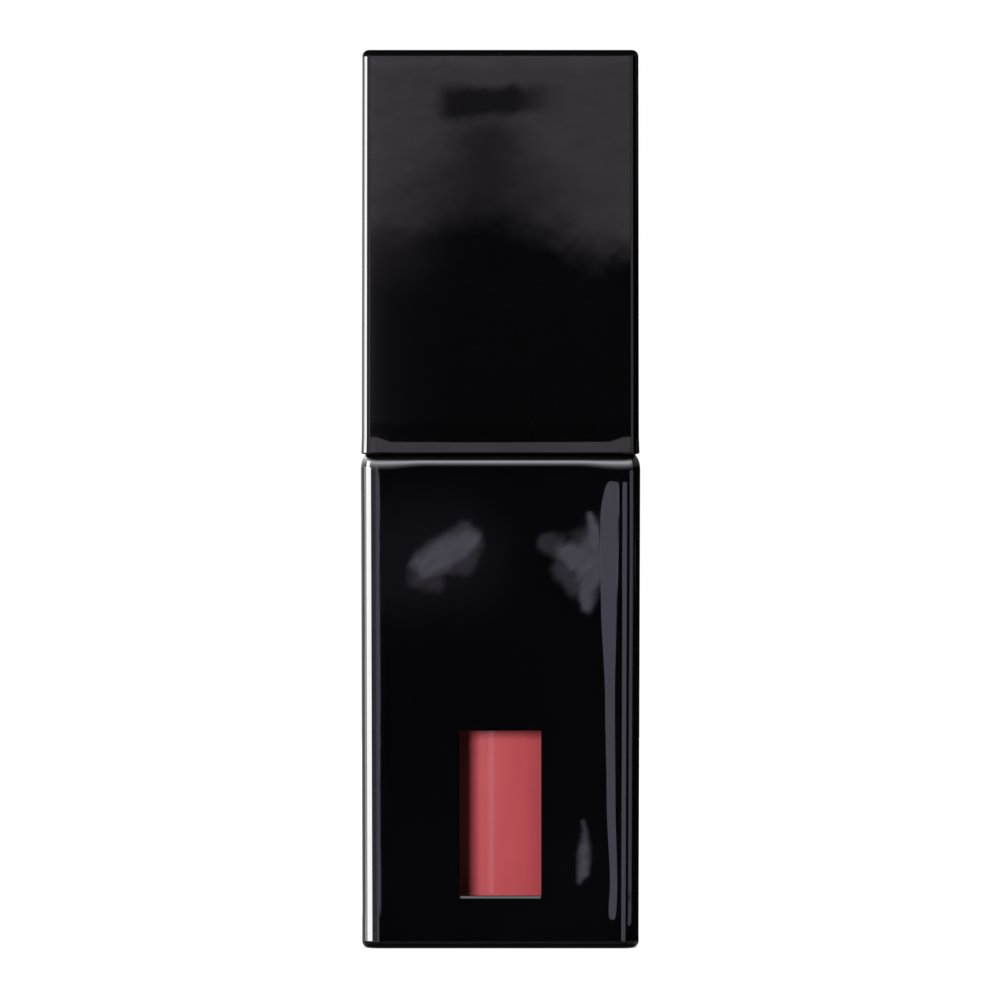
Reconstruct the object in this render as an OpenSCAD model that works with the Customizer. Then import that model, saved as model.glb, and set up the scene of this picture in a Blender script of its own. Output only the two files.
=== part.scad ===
// Square liquid-lipstick case: a windowed bottle and a quarter-turn cap that carries the wand.
// Millimetres. +Z is up, the window faces -Y, and the origin is the middle of the base.

/* [Case] */
// Width and depth of the case over its outside faces
case_w = 24; // [23:0.1:26]
// Height of the case, from the base to the deck under the cap
case_h = 42.35; // [40:0.05:46]
// Wall of the case
case_wall = 1.8; // [1.6:0.05:1.8]
// Rounding of the upright edges of the case
case_edge_r = 1.5; // [0.8:0.1:1.6]

/* [Window] */
// Width of the shade window
window_w = 7; // [5:0.1:8]
// Height of the shade window
window_h = 14.45; // [10:0.05:18]
// Height of the window's lower edge above the base
window_z = 4.05; // [4:0.05:8]

/* [Vial] */
// Outside radius of the vial
vial_r = 9; // [8.6:0.1:9]
// Wall of the vial
vial_wall = 1.2; // [1:0.05:1.6]
// Outside radius of the neck
neck_r = 6.6; // [6.4:0.05:6.7]
// Height of the neck above the deck
neck_h = 11.05; // [10.5:0.05:12]

/* [Cap] */
// Width and depth of the cap over its outside faces
cap_w = 23.85; // [23:0.05:25]
// Height of the cap
cap_h = 34.6; // [33:0.05:38]
// Wall of the cap
cap_wall = 1.6; // [1.4:0.05:1.7]
// Open line between the case and the cap
cap_gap = 0.05; // [0.05:0.05:0.5]

/* [Wand] */
// Radius of the stem
stem_r = 1.6; // [1.4:0.05:1.7]
// Height of the applicator's tip above the base
tip_z = 6; // [5.8:0.1:8]
// Length of the flocked tip
tip_length = 12.4; // [11:0.1:14]

/* [Hidden] */
$fn = 96;

fit = 0.05;       // gap between pieces that are pressed or bonded together
over = 1;         // how far a cutting shape runs past what it cuts

// Case
case_top_r = 0.75;
case_foot_r = 0.6;
cavity_corner_r = 0.5;
deck_t = 1.6;
deck_hole_r = 8;
deck_z = case_h - deck_t;
cavity_w = case_w - 2 * case_wall;
window_corner_r = 0.25;
rib_w = 1.2;
rib_low_z = 5;
rib_high_z = deck_z - 3;

// Lens
lens_lip = 1;         // how far the lens reaches past the window behind the wall
lens_chamfer = 0.2;
lens_back_y = -8.1;

// Base plate and label
plate_t = 1.6;
plate_w = cavity_w - 2 * fit;
seat_low_r = 6.8;
seat_high_r = 8.2;
spigot_r = 6;
spigot_bore_r = 5;
vial_z = plate_t + 1;
label_w = 14.8;
label_t = 0.12;
label_recess = 0.25;
label_corner_r = 1.2;

// Vial
vial_floor_t = 1.75;
bore_z = vial_z + vial_floor_t;
bore_r = vial_r - vial_wall;
push_up_r = spigot_r + 0.1;
push_up_h = 0.8;
vial_chamfer = 0.6;
boss_r = deck_hole_r - 0.1;
neck_bore_r = 4.8;
inner_shoulder_z = deck_z - 3.7;
inner_neck_z = deck_z - 1.2;
neck_top_z = case_h + neck_h;
snap_rib_r = neck_r + 0.35;
snap_rib_h = 0.35;

// Collar round the foot of the neck
collar_r = 9.3;
collar_t = 0.9;
collar_chamfer = 0.2;

// Quarter-turn thread: two ridges on the neck, two lugs in the liner
lead = 5;             // rise of the ridges in one full turn
ridge_crest_r = neck_r + 0.85;
ridge_arc = 95;
ridge_root_t = 1.3;
ridge_crest_t = 0.8;
ridge_mid_z = case_h + 6.7;
lug_crest_r = neck_r + 0.2;
lug_arc = 80;
lug_root_t = 1.3;
lug_crest_t = 0.9;
lock_gap = 0.05;      // space between a ridge and its lug when the cap is locked
lug_mid_z = ridge_mid_z - (ridge_root_t + lug_root_t) / 2 - lock_gap;
stop_arc = 4.5;
stop_from = -46;
stop_h = 2.2;
stop_crest_r = ridge_crest_r - 0.05;
band_steps = 24;

// Wiper
wiper_r = neck_bore_r - fit;
wiper_flange_r = neck_r - 0.3;
wiper_flange_t = 0.8;
wiper_bore_r = 3.95;
wiper_mouth_r = 4.3;
wiper_sleeve_z = case_h + 2.4;
wiper_tip_z = case_h - 1.2;
wiper_lip_t = 0.7;
wiper_lip_h = 0.4;
orifice_r = stem_r + 0.05;
bead_z = case_h + 3.8;
bead_h = 0.6;
bead_out = 0.15;

// Seal ring, which rests on the wiper's flange
seal_gap = 0.03;
seal_z = neck_top_z + wiper_flange_t + seal_gap;
seal_t = 1;
seal_out_r = neck_r - 0.05;
seal_in_r = 2.45;

// Product
fill_gap = 0.02;
fill_top_z = inner_shoulder_z - 0.9;
fill_hole_r = 2.45;
fill_chamfer = 0.35;
meniscus_h = 0.7;

// Cap
cap_z = case_h + cap_gap;
cap_top_z = cap_z + cap_h;
cap_edge_r = 0.75;
cap_top_r = 0.55;
cap_foot_r = 0.1;
cap_roof_t = 1.8;
cap_cavity_w = cap_w - 2 * cap_wall;
cap_roof_z = cap_top_z - cap_roof_t;
weight_w = cap_cavity_w - 0.8;
weight_h = 5.8;
weight_z = cap_roof_z - weight_h;
weight_corner_r = 2;
weight_bore_r = 3.05;

// Liner
liner_z = cap_z + 1.05;
liner_flange_t = 1.2;
skirt_r = 8.8;
skirt_bore_r = ridge_crest_r + 0.17;
liner_deck_z = seal_z + seal_t + 0.02;
liner_deck_t = 1.5;
hub_r = 3.4;
liner_spigot_h = 3.6;
liner_spigot_r = weight_bore_r - fit;
fin_t = 1;
fin_reach = cap_cavity_w / 2 - fit;

// Stem and applicator
stem_top_z = weight_z - 2.9;
stem_low_z = tip_z + tip_length + 1.1;
stem_flange_r = seal_in_r - fit;
socket_r = stem_r + 0.03;
plug_r = 0.95;
plug_h = 4;
plug_gap = 0.02;
core_r = 1.85;
flock_t = 0.35;
flock_skin = 0.01;
slant_top_z = tip_z + tip_length - 1.9;
slant_low_z = tip_z + 1.2;
slant_reach = 2.45;     // how far across the tip the slant has come at slant_low_z

// Rectangle with round corners, centred
module round_rect(w, d, r) {
    square([w - 2 * r, d], center = true);
    square([w, d - 2 * r], center = true);
    for (x = [-1, 1], y = [-1, 1])
        translate([x * (w / 2 - r), y * (d / 2 - r)]) circle(r);
}

// Side view of a block that stands on y = 0, with its own rounding at the foot and the top
module side_outline(w, h, foot_r, top_r) {
    translate([-w / 2, foot_r]) square([w, h - foot_r - top_r]);
    translate([-w / 2 + foot_r, 0]) square([w - 2 * foot_r, h / 2]);
    translate([-w / 2 + top_r, h / 2]) square([w - 2 * top_r, h / 2]);
    for (x = [-1, 1]) {
        translate([x * (w / 2 - foot_r), foot_r]) circle(foot_r);
        translate([x * (w / 2 - top_r), h - top_r]) circle(top_r);
    }
}

// Square block with round upright edges, foot and top
module soft_block(w, h, edge_r, foot_r, top_r) {
    intersection() {
        linear_extrude(h) round_rect(w, w, edge_r);
        for_each_side(w) side_outline(w, h, foot_r, top_r);
    }
}

module for_each_side(w) {
    intersection() {
        rotate([90, 0, 0]) linear_extrude(w + 2 * over, center = true) children();
        rotate([90, 0, 90]) linear_extrude(w + 2 * over, center = true) children();
    }
}

// Ring of points of a helical band at one angle: root, crest, crest, root
function band_ring(root_r, crest_r, root_t, crest_t, z, angle) = [
    [root_r * cos(angle), root_r * sin(angle), z - root_t / 2],
    [crest_r * cos(angle), crest_r * sin(angle), z - crest_t / 2],
    [crest_r * cos(angle), crest_r * sin(angle), z + crest_t / 2],
    [root_r * cos(angle), root_r * sin(angle), z + root_t / 2]
];

// Trapezoid band that climbs at the thread's lead, arc degrees long and centred on the +X side.
// A band whose crest lies inside its root, as a lug's does, is turned inside out by flipping its faces.
module helical_band(root_r, crest_r, root_t, crest_t, arc, mid_z) {
    points = [for (i = [0 : band_steps])
        let (angle = arc * (i / band_steps - 0.5))
        each band_ring(root_r, crest_r, root_t, crest_t, mid_z + lead * angle / 360, angle)];
    last = 4 * band_steps;
    sides = [for (i = [0 : band_steps - 1], k = [0 : 3])
        let (a = 4 * i + k, b = 4 * i + (k + 1) % 4)
        [a, b, b + 4, a + 4]];
    faces = concat(sides, [[3, 2, 1, 0]], [[last, last + 1, last + 2, last + 3]]);
    outward = crest_r > root_r;
    polyhedron(points, outward ? faces : [for (f = faces) [for (k = [len(f) - 1 : -1 : 0]) f[k]]],
               convexity = 4);
}

module twice_round() {
    for (turn = [0, 180]) rotate(turn) children();
}

module case_shell() {
    color("#0b0b0d") {
        difference() {
            soft_block(case_w, case_h, case_edge_r, case_foot_r, case_top_r);
            translate([0, 0, -over]) linear_extrude(deck_z + over)
                round_rect(cavity_w, cavity_w, cavity_corner_r);
            translate([0, 0, deck_z - over]) cylinder(h = deck_t + 2 * over, r = deck_hole_r);
            window_opening();
        }
        centring_ribs();
    }
}

// The opening through the front wall
module window_opening() {
    translate([0, -cavity_w / 2 + over, window_z + window_h / 2]) rotate([90, 0, 0])
        linear_extrude(case_wall + 2 * over) round_rect(window_w, window_h, window_corner_r);
}

// Ribs on the three walls without the window, which centre the vial
module centring_ribs() {
    reach = cavity_w / 2 - vial_r - fit;
    for (turn = [0, 90, 180]) rotate(turn)
        translate([vial_r + fit, -rib_w / 2, rib_low_z])
            cube([reach + case_wall / 2, rib_w, rib_high_z - rib_low_z]);
}

module window_lens() {
    front = -case_w / 2;
    wall_y = -cavity_w / 2;
    color("#dfe4ea", 0.35) difference() {
        union() {
            translate([0, wall_y, window_z + window_h / 2]) rotate([90, 0, 0])
                linear_extrude(wall_y - front - lens_chamfer)
                    round_rect(window_w - 2 * fit, window_h - 2 * fit, window_corner_r);
            translate([0, front + lens_chamfer, window_z + window_h / 2]) rotate([90, 0, 0])
                linear_extrude(lens_chamfer)
                    round_rect(window_w - 2 * fit - 2 * lens_chamfer,
                               window_h - 2 * fit - 2 * lens_chamfer, window_corner_r / 2);
            translate([-window_w / 2 - lens_lip, wall_y, window_z - lens_lip])
                cube([window_w + 2 * lens_lip, lens_back_y - wall_y, window_h + 2 * lens_lip]);
        }
        cylinder(h = case_h, r = vial_r + 3 * fit);
    }
}

module base_plate() {
    color("#141416") difference() {
        union() {
            linear_extrude(plate_t) round_rect(plate_w, plate_w, cavity_corner_r - fit);
            difference() {
                cylinder(h = vial_z, r = seat_high_r);
                translate([0, 0, plate_t]) cylinder(h = vial_z, r = seat_low_r);
            }
            cylinder(h = vial_z + push_up_h - fit, r = spigot_r);
        }
        translate([0, 0, plate_t]) cylinder(h = vial_z, r = spigot_bore_r);
        translate([0, 0, -over]) linear_extrude(label_recess + over)
            round_rect(label_w + 4 * fit, label_w + 4 * fit, label_corner_r + 2 * fit);
    }
}

module shade_label() {
    color("#c9565b") translate([0, 0, label_recess - label_t])
        linear_extrude(label_t) round_rect(label_w, label_w, label_corner_r);
}

module vial() {
    color("#e9eef2", 0.4) {
        rotate_extrude() difference() {
            polygon([
                [0, vial_z], [vial_r - vial_chamfer, vial_z], [vial_r, vial_z + vial_chamfer],
                [vial_r, deck_z - vial_chamfer], [vial_r - vial_chamfer, deck_z], [boss_r, deck_z],
                [boss_r, case_h], [neck_r, case_h], [neck_r, case_h + collar_t],
                [snap_rib_r, case_h + collar_t], [neck_r, case_h + collar_t + snap_rib_h],
                [neck_r, neck_top_z], [0, neck_top_z]
            ]);
            polygon([
                [0, bore_z], [bore_r - fill_chamfer, bore_z], [bore_r, bore_z + fill_chamfer],
                [bore_r, inner_shoulder_z], [neck_bore_r, inner_neck_z],
                [neck_bore_r, neck_top_z + over], [0, neck_top_z + over]
            ]);
            translate([0, vial_z - over]) square([push_up_r, push_up_h + over]);
            translate([0, bead_z - fit]) square([neck_bore_r + bead_out + fit, bead_h + 2 * fit]);
        }
        twice_round() {
            helical_band(neck_r - 0.4, ridge_crest_r, ridge_root_t, ridge_crest_t, ridge_arc,
                         ridge_mid_z);
            turn_stop();
        }
    }
}

// Rib under the low end of a ridge, which the lug meets when the cap is locked
module turn_stop() {
    low_end_z = ridge_mid_z + lead * stop_from / 360;
    rotate([0, 0, stop_from]) rotate_extrude(angle = stop_arc)
        translate([neck_r - 0.4, low_end_z - stop_h])
            square([stop_crest_r - neck_r + 0.4, stop_h]);
}

module wiper() {
    color("#f4f4f0", 0.7) rotate_extrude() polygon([
        [wiper_mouth_r, neck_top_z + wiper_flange_t],
        [wiper_flange_r, neck_top_z + wiper_flange_t],
        [wiper_flange_r, neck_top_z], [wiper_r, neck_top_z],
        [wiper_r, bead_z + bead_h], [wiper_r + bead_out, bead_z + bead_h / 2], [wiper_r, bead_z],
        [wiper_r, wiper_sleeve_z], [orifice_r + wiper_lip_t, wiper_tip_z],
        [orifice_r, wiper_tip_z], [orifice_r, wiper_tip_z + wiper_lip_h],
        [wiper_bore_r, wiper_sleeve_z + wiper_lip_h], [wiper_bore_r, neck_top_z]
    ]);
}

module neck_collar() {
    color("#0b0b0d") rotate_extrude() polygon([
        [neck_r + fit, case_h], [collar_r, case_h],
        [collar_r, case_h + collar_t - collar_chamfer],
        [collar_r - collar_chamfer, case_h + collar_t], [neck_r + fit, case_h + collar_t]
    ]);
}

module product_fill() {
    wall_r = bore_r - fill_gap;
    color("#c9525a") rotate_extrude() polygon([
        [0, bore_z + fill_gap], [wall_r - fill_chamfer, bore_z + fill_gap],
        [wall_r, bore_z + fill_chamfer + fill_gap], [wall_r, fill_top_z + meniscus_h],
        [wall_r - 0.4, fill_top_z + 0.25], [wall_r - 1.2, fill_top_z],
        [fill_hole_r, fill_top_z], [fill_hole_r, tip_z - 0.4], [0, tip_z - 0.4]
    ]);
}

module neck_seal() {
    color("#e6e2da") translate([0, 0, seal_z]) difference() {
        cylinder(h = seal_t, r = seal_out_r);
        translate([0, 0, -over]) cylinder(h = seal_t + 2 * over, r = seal_in_r);
    }
}

module cap_shell() {
    color("#0b0b0d") difference() {
        translate([0, 0, cap_z]) soft_block(cap_w, cap_h, cap_edge_r, cap_foot_r, cap_top_r);
        translate([0, 0, cap_z - over]) linear_extrude(cap_h - cap_roof_t + over)
            round_rect(cap_cavity_w, cap_cavity_w, cavity_corner_r);
    }
}

module cap_weight() {
    color("#8d9095") translate([0, 0, weight_z]) difference() {
        linear_extrude(weight_h) round_rect(weight_w, weight_w, weight_corner_r);
        translate([0, 0, -over]) cylinder(h = weight_h + 2 * over, r = weight_bore_r);
    }
}

module cap_liner() {
    color("#1b1b1e") {
        difference() {
            liner_body();
            translate([0, 0, liner_z - over])
                cylinder(h = liner_deck_z - liner_z + over, r = skirt_bore_r);
            translate([0, 0, liner_z]) cylinder(h = stem_top_z - liner_z, r = socket_r);
        }
        rotate(90) twice_round()
            helical_band(skirt_bore_r + 0.4, lug_crest_r, lug_root_t, lug_crest_t, lug_arc, lug_mid_z);
    }
}

// Flange, skirt, hub and four fins of the liner, before it is bored
module liner_body() {
    flange_w = cap_cavity_w - 2 * fit;
    deck_top_z = liner_deck_z + liner_deck_t;
    translate([0, 0, liner_z]) linear_extrude(liner_flange_t)
        round_rect(flange_w, flange_w, cavity_corner_r - fit);
    translate([0, 0, liner_z]) cylinder(h = deck_top_z - liner_z, r = skirt_r);
    translate([0, 0, liner_deck_z]) cylinder(h = weight_z - liner_deck_z, r = hub_r);
    translate([0, 0, weight_z - over]) cylinder(h = liner_spigot_h + over, r = liner_spigot_r);
    for (turn = [0, 90])
        rotate(turn) translate([-fin_reach, -fin_t / 2, liner_z])
            cube([2 * fin_reach, fin_t, weight_z - liner_z]);
}

module stem() {
    color("#111113") difference() {
        union() {
            translate([0, 0, stem_low_z]) cylinder(h = stem_top_z - stem_low_z, r = stem_r);
            translate([0, 0, seal_z]) cylinder(h = seal_t, r = stem_flange_r);
        }
        translate([0, 0, stem_low_z - over]) cylinder(h = plug_h + over + 0.3, r = plug_r + plug_gap);
    }
}

// Slanted round-ended tip, grown by g on every side and ending at end_z
module doe_foot(g, end_z) {
    r = core_r + g;
    low_z = tip_z + flock_t - g;
    lean = atan((slant_reach) / (slant_top_z - slant_low_z));
    difference() {
        union() {
            translate([0, 0, low_z + r]) cylinder(h = end_z - low_z - r, r = r);
            translate([0, 0, low_z + r]) sphere(r);
        }
        translate([0, -core_r, slant_top_z]) rotate([-lean, 0, 0])
            translate([-2 * core_r, -4 * core_r - g, -2 * tip_length])
                cube([4 * core_r, 4 * core_r, 3 * tip_length]);
    }
}

module applicator_core() {
    color("#2a2a2c") {
        doe_foot(0, stem_low_z - plug_gap);
        translate([0, 0, stem_low_z - over]) cylinder(h = plug_h + over, r = plug_r);
    }
}

module flock_coat() {
    color("#b8474d") difference() {
        doe_foot(flock_t, tip_z + tip_length);
        doe_foot(flock_skin, tip_z + tip_length + over);
    }
}

case_shell();
window_lens();
base_plate();
shade_label();
vial();
wiper();
neck_collar();
product_fill();
neck_seal();
cap_shell();
cap_weight();
cap_liner();
stem();
applicator_core();
flock_coat();
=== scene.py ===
"""Looks of a square liquid-lipstick case: lacquered shells, a shade window, the vial and the wand.

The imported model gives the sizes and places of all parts. This script puts finer shells, a pane, colour
and flock around it, and lights it like a product shot. Lengths are metres, the window faces -Y and
+Z is up.
"""

import math
import random

import bmesh
import bpy
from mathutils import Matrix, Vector, noise
from mathutils.bvhtree import BVHTree


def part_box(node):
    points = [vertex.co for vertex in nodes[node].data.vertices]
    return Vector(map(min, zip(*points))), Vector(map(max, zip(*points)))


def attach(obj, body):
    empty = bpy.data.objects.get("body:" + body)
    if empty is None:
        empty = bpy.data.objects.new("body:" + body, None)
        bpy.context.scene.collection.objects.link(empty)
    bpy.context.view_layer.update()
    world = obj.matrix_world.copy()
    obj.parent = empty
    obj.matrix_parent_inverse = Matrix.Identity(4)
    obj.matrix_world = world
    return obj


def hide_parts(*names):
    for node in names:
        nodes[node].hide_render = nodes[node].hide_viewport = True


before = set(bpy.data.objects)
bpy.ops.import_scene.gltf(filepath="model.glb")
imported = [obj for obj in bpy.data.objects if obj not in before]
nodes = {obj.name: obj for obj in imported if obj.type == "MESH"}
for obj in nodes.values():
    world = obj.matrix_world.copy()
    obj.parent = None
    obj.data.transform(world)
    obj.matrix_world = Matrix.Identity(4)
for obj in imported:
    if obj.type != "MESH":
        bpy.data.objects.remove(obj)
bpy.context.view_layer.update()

MM = 0.001
CASE_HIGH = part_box("case_shell")[1]
CAP_LOW, CAP_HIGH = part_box("cap_shell")
LENS_LOW, LENS_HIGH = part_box("window_lens")
VIAL_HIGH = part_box("vial")[1]
FILL_LOW, FILL_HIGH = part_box("product_fill")

# Case: the outside stands on the frame's box, and narrows a little towards its foot
CASE_HALF = CASE_HIGH.x
CASE_TOP = CASE_HIGH.z
CASE_DRAFT = 0.135 * MM
CASE_WALL = 1.8 * MM
CASE_EDGE_R = 1.5 * MM
CASE_FOOT_R = 0.6 * MM
CASE_TOP_IN = 0.6 * MM          # the rounding under the deck goes in by this much...
CASE_TOP_DOWN = 1.05 * MM       # ...and down by this much...
CASE_SAG = 0.3 * MM             # ...with this much more at the corners,
CASE_SAG_FADE = 4 * MM          # which fades out over this much of the wall
DECK_T = 1.6 * MM
DECK_HOLE_R = 8 * MM
INNER_EDGE_R = 0.5 * MM

# Window opening in the front wall, and the pane in it
LENS_LIP = 1 * MM
PANE_BOND = 0.03 * MM           # the pane runs this far into the wall all round, as a moulded-in one does
WINDOW_HALF = LENS_HIGH.x - LENS_LIP
SILL = 0.44 * MM                # the lower edge is cut this much above the lens's own face
WINDOW_LOW = LENS_LOW.z + LENS_LIP + SILL
HEAD = 0.17 * MM                # the upper edge is cut this much above the lens's own face
WINDOW_HIGH = LENS_HIGH.z - LENS_LIP + HEAD
WINDOW_MIDDLE = (WINDOW_LOW + WINDOW_HIGH) / 2
WINDOW_CORNER_R = 0.08 * MM
SILL_DROP = 0.2 * MM            # the sill slopes down to the face by this much
PANE_DEPTH = 0.2 * MM           # the pane sits this far behind the case's face

# Cap: a hair narrower than its box, so that its lower edge can flare
CAP_FLARE_SLOPE = 0.036
CAP_FLARE_TALL = 1.42 * MM      # height of the flared band at the corners...
CAP_FLARE_LOW = 1 * MM          # ...and elsewhere
CAP_FLARE = CAP_FLARE_SLOPE * CAP_FLARE_TALL
CAP_DRAFT = 0.04 * MM
CAP_HALF = CAP_HIGH.x - CAP_FLARE
CAP_WALL = 1.6 * MM
CAP_ROOF_T = 1.8 * MM
CAP_EDGE_R = 0.7 * MM
CAP_TOP_R = 0.55 * MM
CAP_FOOT_R = 0.08 * MM

# Vial
VIAL_R = VIAL_HIGH.x
BORE_R = VIAL_R - 1.2 * MM

# Camera: level, on a long lens, with the object filling nine tenths of the picture's height
CAMERA_X = -0.035 * MM
CAMERA_Z = 38.42 * MM
CAMERA_DISTANCE = 0.7
FRONT_DISTANCE = CAMERA_DISTANCE - CASE_HALF
PICTURE_HEIGHT = 85.62 * MM
SENSOR = 36.0

ARC_STEPS = 10
RIM_STEPS = 36
MIDDLE_STEPS = 24
RELIEF_START = 8.3 * MM         # the faces are plain within this distance of their middle
SUPPORT = 0.04 * MM             # a close row of points that keeps a flat face flat up to its rounding
SMOOTH_LIMIT = math.radians(35)


# ------------------------------------------------------------------ small helpers

def smoothstep(low, high, value):
    """0 below low, 1 above high, and a smooth rise between."""
    t = min(1.0, max(0.0, (value - low) / (high - low)))
    return t * t * (3 - 2 * t)


def curve_through(points, value):
    """Smooth interpolation through (place, level) points, flat beyond both ends."""
    if value <= points[0][0]:
        return points[0][1]
    for (low, level_low), (high, level_high) in zip(points, points[1:]):
        if value <= high:
            return level_low + (level_high - level_low) * smoothstep(low, high, value)
    return points[-1][1]


def spread(low, high, count):
    """count + 1 evenly spaced values from low to high."""
    return [low + (high - low) * i / count for i in range(count + 1)]


def piece_from(name, points, faces):
    """A smooth-shaded mesh object with hard edges where its faces meet steeply."""
    mesh = bpy.data.meshes.new(name)
    mesh.from_pydata([tuple(p) for p in points], [], faces)
    bm = bmesh.new()
    bm.from_mesh(mesh)
    bmesh.ops.recalc_face_normals(bm, faces=bm.faces)
    finish_mesh(bm, mesh)
    obj = bpy.data.objects.new(name, mesh)
    bpy.context.scene.collection.objects.link(obj)
    return obj


def finish_mesh(bm, mesh):
    """Sets smooth shading with hard edges, writes the mesh and frees the working copy."""
    for face in bm.faces:
        face.smooth = True
    for edge in bm.edges:
        edge.smooth = len(edge.link_faces) == 2 and edge.calc_face_angle() < SMOOTH_LIMIT
    bm.to_mesh(mesh)
    bm.free()


def place(obj, body, material, replaces=()):
    """Gives a piece its body, its material, and the CAD nodes that it stands for."""
    obj.data.materials.append(material)
    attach(obj, body)
    if replaces:
        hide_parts(*replaces)
    return obj


# ------------------------------------------------------------------ materials

def new_material(name):
    material = bpy.data.materials.new(name)
    material.use_nodes = True
    tree = material.node_tree
    return material, tree, tree.nodes["Principled BSDF"]


def math_node(tree, operation, first, second):
    """A Math node on two sockets or numbers."""
    node = tree.nodes.new("ShaderNodeMath")
    node.operation = operation
    for socket, value in zip(node.inputs, (first, second)):
        if isinstance(value, (int, float)):
            socket.default_value = value
        else:
            tree.links.new(value, socket)
    return node.outputs["Value"]


def grain(tree, scale, detail=3.0, stretch=(1, 1, 1)):
    """Noise in the piece's own coordinates. scale is about how many features there are in a metre."""
    mapping = tree.nodes.new("ShaderNodeMapping")
    mapping.inputs["Scale"].default_value = stretch
    tree.links.new(tree.nodes.new("ShaderNodeTexCoord").outputs["Object"], mapping.inputs["Vector"])
    texture = tree.nodes.new("ShaderNodeTexNoise")
    texture.inputs["Scale"].default_value = scale
    texture.inputs["Detail"].default_value = detail
    tree.links.new(mapping.outputs["Vector"], texture.inputs["Vector"])
    return texture.outputs["Fac"]


def cells(tree, scale):
    """The walls between foam cells: 0 in a cell's middle, rising towards its walls."""
    texture = tree.nodes.new("ShaderNodeTexVoronoi")
    texture.inputs["Scale"].default_value = scale
    tree.links.new(tree.nodes.new("ShaderNodeTexCoord").outputs["Object"], texture.inputs["Vector"])
    return texture.outputs["Distance"]


def vary_number(tree, socket, source, low, high):
    """Drives a number between low and high by a noise."""
    node = tree.nodes.new("ShaderNodeMapRange")
    node.inputs["From Min"].default_value = 0.3
    node.inputs["From Max"].default_value = 0.7
    node.inputs["To Min"].default_value = low
    node.inputs["To Max"].default_value = high
    tree.links.new(source, node.inputs["Value"])
    tree.links.new(node.outputs["Result"], socket)


def vary_colour(tree, socket, source, first, second, start=0.35, end=0.65):
    """Blends two colours by a noise or a height."""
    ramp = tree.nodes.new("ShaderNodeValToRGB")
    for stop, place_on_ramp, colour in zip(ramp.color_ramp.elements, (start, end), (first, second)):
        stop.position = place_on_ramp
        stop.color = (*colour, 1)
    tree.links.new(source, ramp.inputs["Fac"])
    tree.links.new(ramp.outputs["Color"], socket)


def add_bumps(tree, shader, *layers):
    """Stacks (source, depth in metres) layers of relief on a shader."""
    below = None
    for source, depth in layers:
        node = tree.nodes.new("ShaderNodeBump")
        node.inputs["Distance"].default_value = depth
        tree.links.new(source, node.inputs["Height"])
        if below:
            tree.links.new(below.outputs["Normal"], node.inputs["Normal"])
        below = node
    tree.links.new(below.outputs["Normal"], shader.inputs["Normal"])


def moulded(name, first, second, roughness, grain_scale, grain_depth, mottle_scale=300, stretch=(1, 1, 1)):
    """A moulded or cast part: two close colours, uneven gloss and a fine surface grain."""
    material, tree, shader = new_material(name)
    mottle = grain(tree, mottle_scale, stretch=stretch)
    vary_colour(tree, shader.inputs["Base Color"], mottle, first, second)
    vary_number(tree, shader.inputs["Roughness"], mottle, *roughness)
    add_bumps(tree, shader, (grain(tree, grain_scale, stretch=stretch), grain_depth))
    return material, tree, shader


def lacquer(name):
    """Piano-black lacquer: a deep base, a hard gloss, long slow waves and a trace of orange peel."""
    material, tree, shader = new_material(name)
    vary_colour(tree, shader.inputs["Base Color"], grain(tree, 60), (0.0005, 0.0004, 0.0009),
                (0.0010, 0.0008, 0.0014))
    vary_number(tree, shader.inputs["Roughness"], grain(tree, 260), 0.003, 0.009)
    add_bumps(tree, shader, (grain(tree, 45, 1.0), 0.003 * MM), (grain(tree, 900, 1.0), 0.00004 * MM))
    shader.inputs["IOR"].default_value = 1.5
    return material


def clear(name, ior, tint, ripple):
    """Clear plastic with faint haze and the ripple of its moulding. ripple is its depth in metres."""
    material, tree, shader = new_material(name)
    vary_colour(tree, shader.inputs["Base Color"], grain(tree, 90), tint, (1, 1, 1))
    vary_number(tree, shader.inputs["Roughness"], grain(tree, 400), 0.0, 0.006)
    add_bumps(tree, shader, (grain(tree, 160, 1.0, (1, 1, 0.25)), ripple))
    shader.inputs["IOR"].default_value = ior
    shader.inputs["Transmission Weight"].default_value = 1.0
    return material


ROSE = (0.62, 0.098, 0.112)
ROSE_DEEP = (0.53, 0.080, 0.094)


def lip_colour(name):
    """Rose lip lacquer that wets the wall: pigment in slow upright streaks, hardly any gloss of its own."""
    material, tree, shader = new_material(name)
    vary_colour(tree, shader.inputs["Base Color"], grain(tree, 170, 4.0, (1, 1, 0.3)), ROSE_DEEP, ROSE)
    vary_number(tree, shader.inputs["Roughness"], grain(tree, 500), 0.35, 0.45)
    shader.inputs["Specular IOR Level"].default_value = 0.08
    return material


def label_film(name):
    material, _, shader = moulded(name, (0.50, 0.100, 0.105), (0.56, 0.118, 0.120), (0.35, 0.5), 4000,
                                  0.002 * MM, 700)
    shader.inputs["Coat Weight"].default_value = 0.3
    shader.inputs["Coat Roughness"].default_value = 0.2
    return material


def soft_polythene(name):
    """Natural polythene: milky, and light goes a little way in."""
    material, _, shader = moulded(name, (0.74, 0.73, 0.70), (0.82, 0.81, 0.78), (0.3, 0.45), 1500,
                                  0.002 * MM)
    shader.inputs["Subsurface Weight"].default_value = 0.4
    shader.inputs["Subsurface Radius"].default_value = (1.0, 0.9, 0.8)
    shader.inputs["Subsurface Scale"].default_value = 1 * MM
    return material


def foam(name):
    material, tree, shader = new_material(name)
    walls = cells(tree, 2600)
    # The colour is darker in the cells' hollow middles and lighter on their walls: painted shade in the
    # hollows.
    vary_colour(tree, shader.inputs["Base Color"], walls, (0.60, 0.58, 0.54), (0.80, 0.78, 0.74), 0.1, 0.7)
    vary_number(tree, shader.inputs["Roughness"], grain(tree, 800), 0.75, 0.95)
    add_bumps(tree, shader, (walls, 0.06 * MM))
    return material


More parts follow.
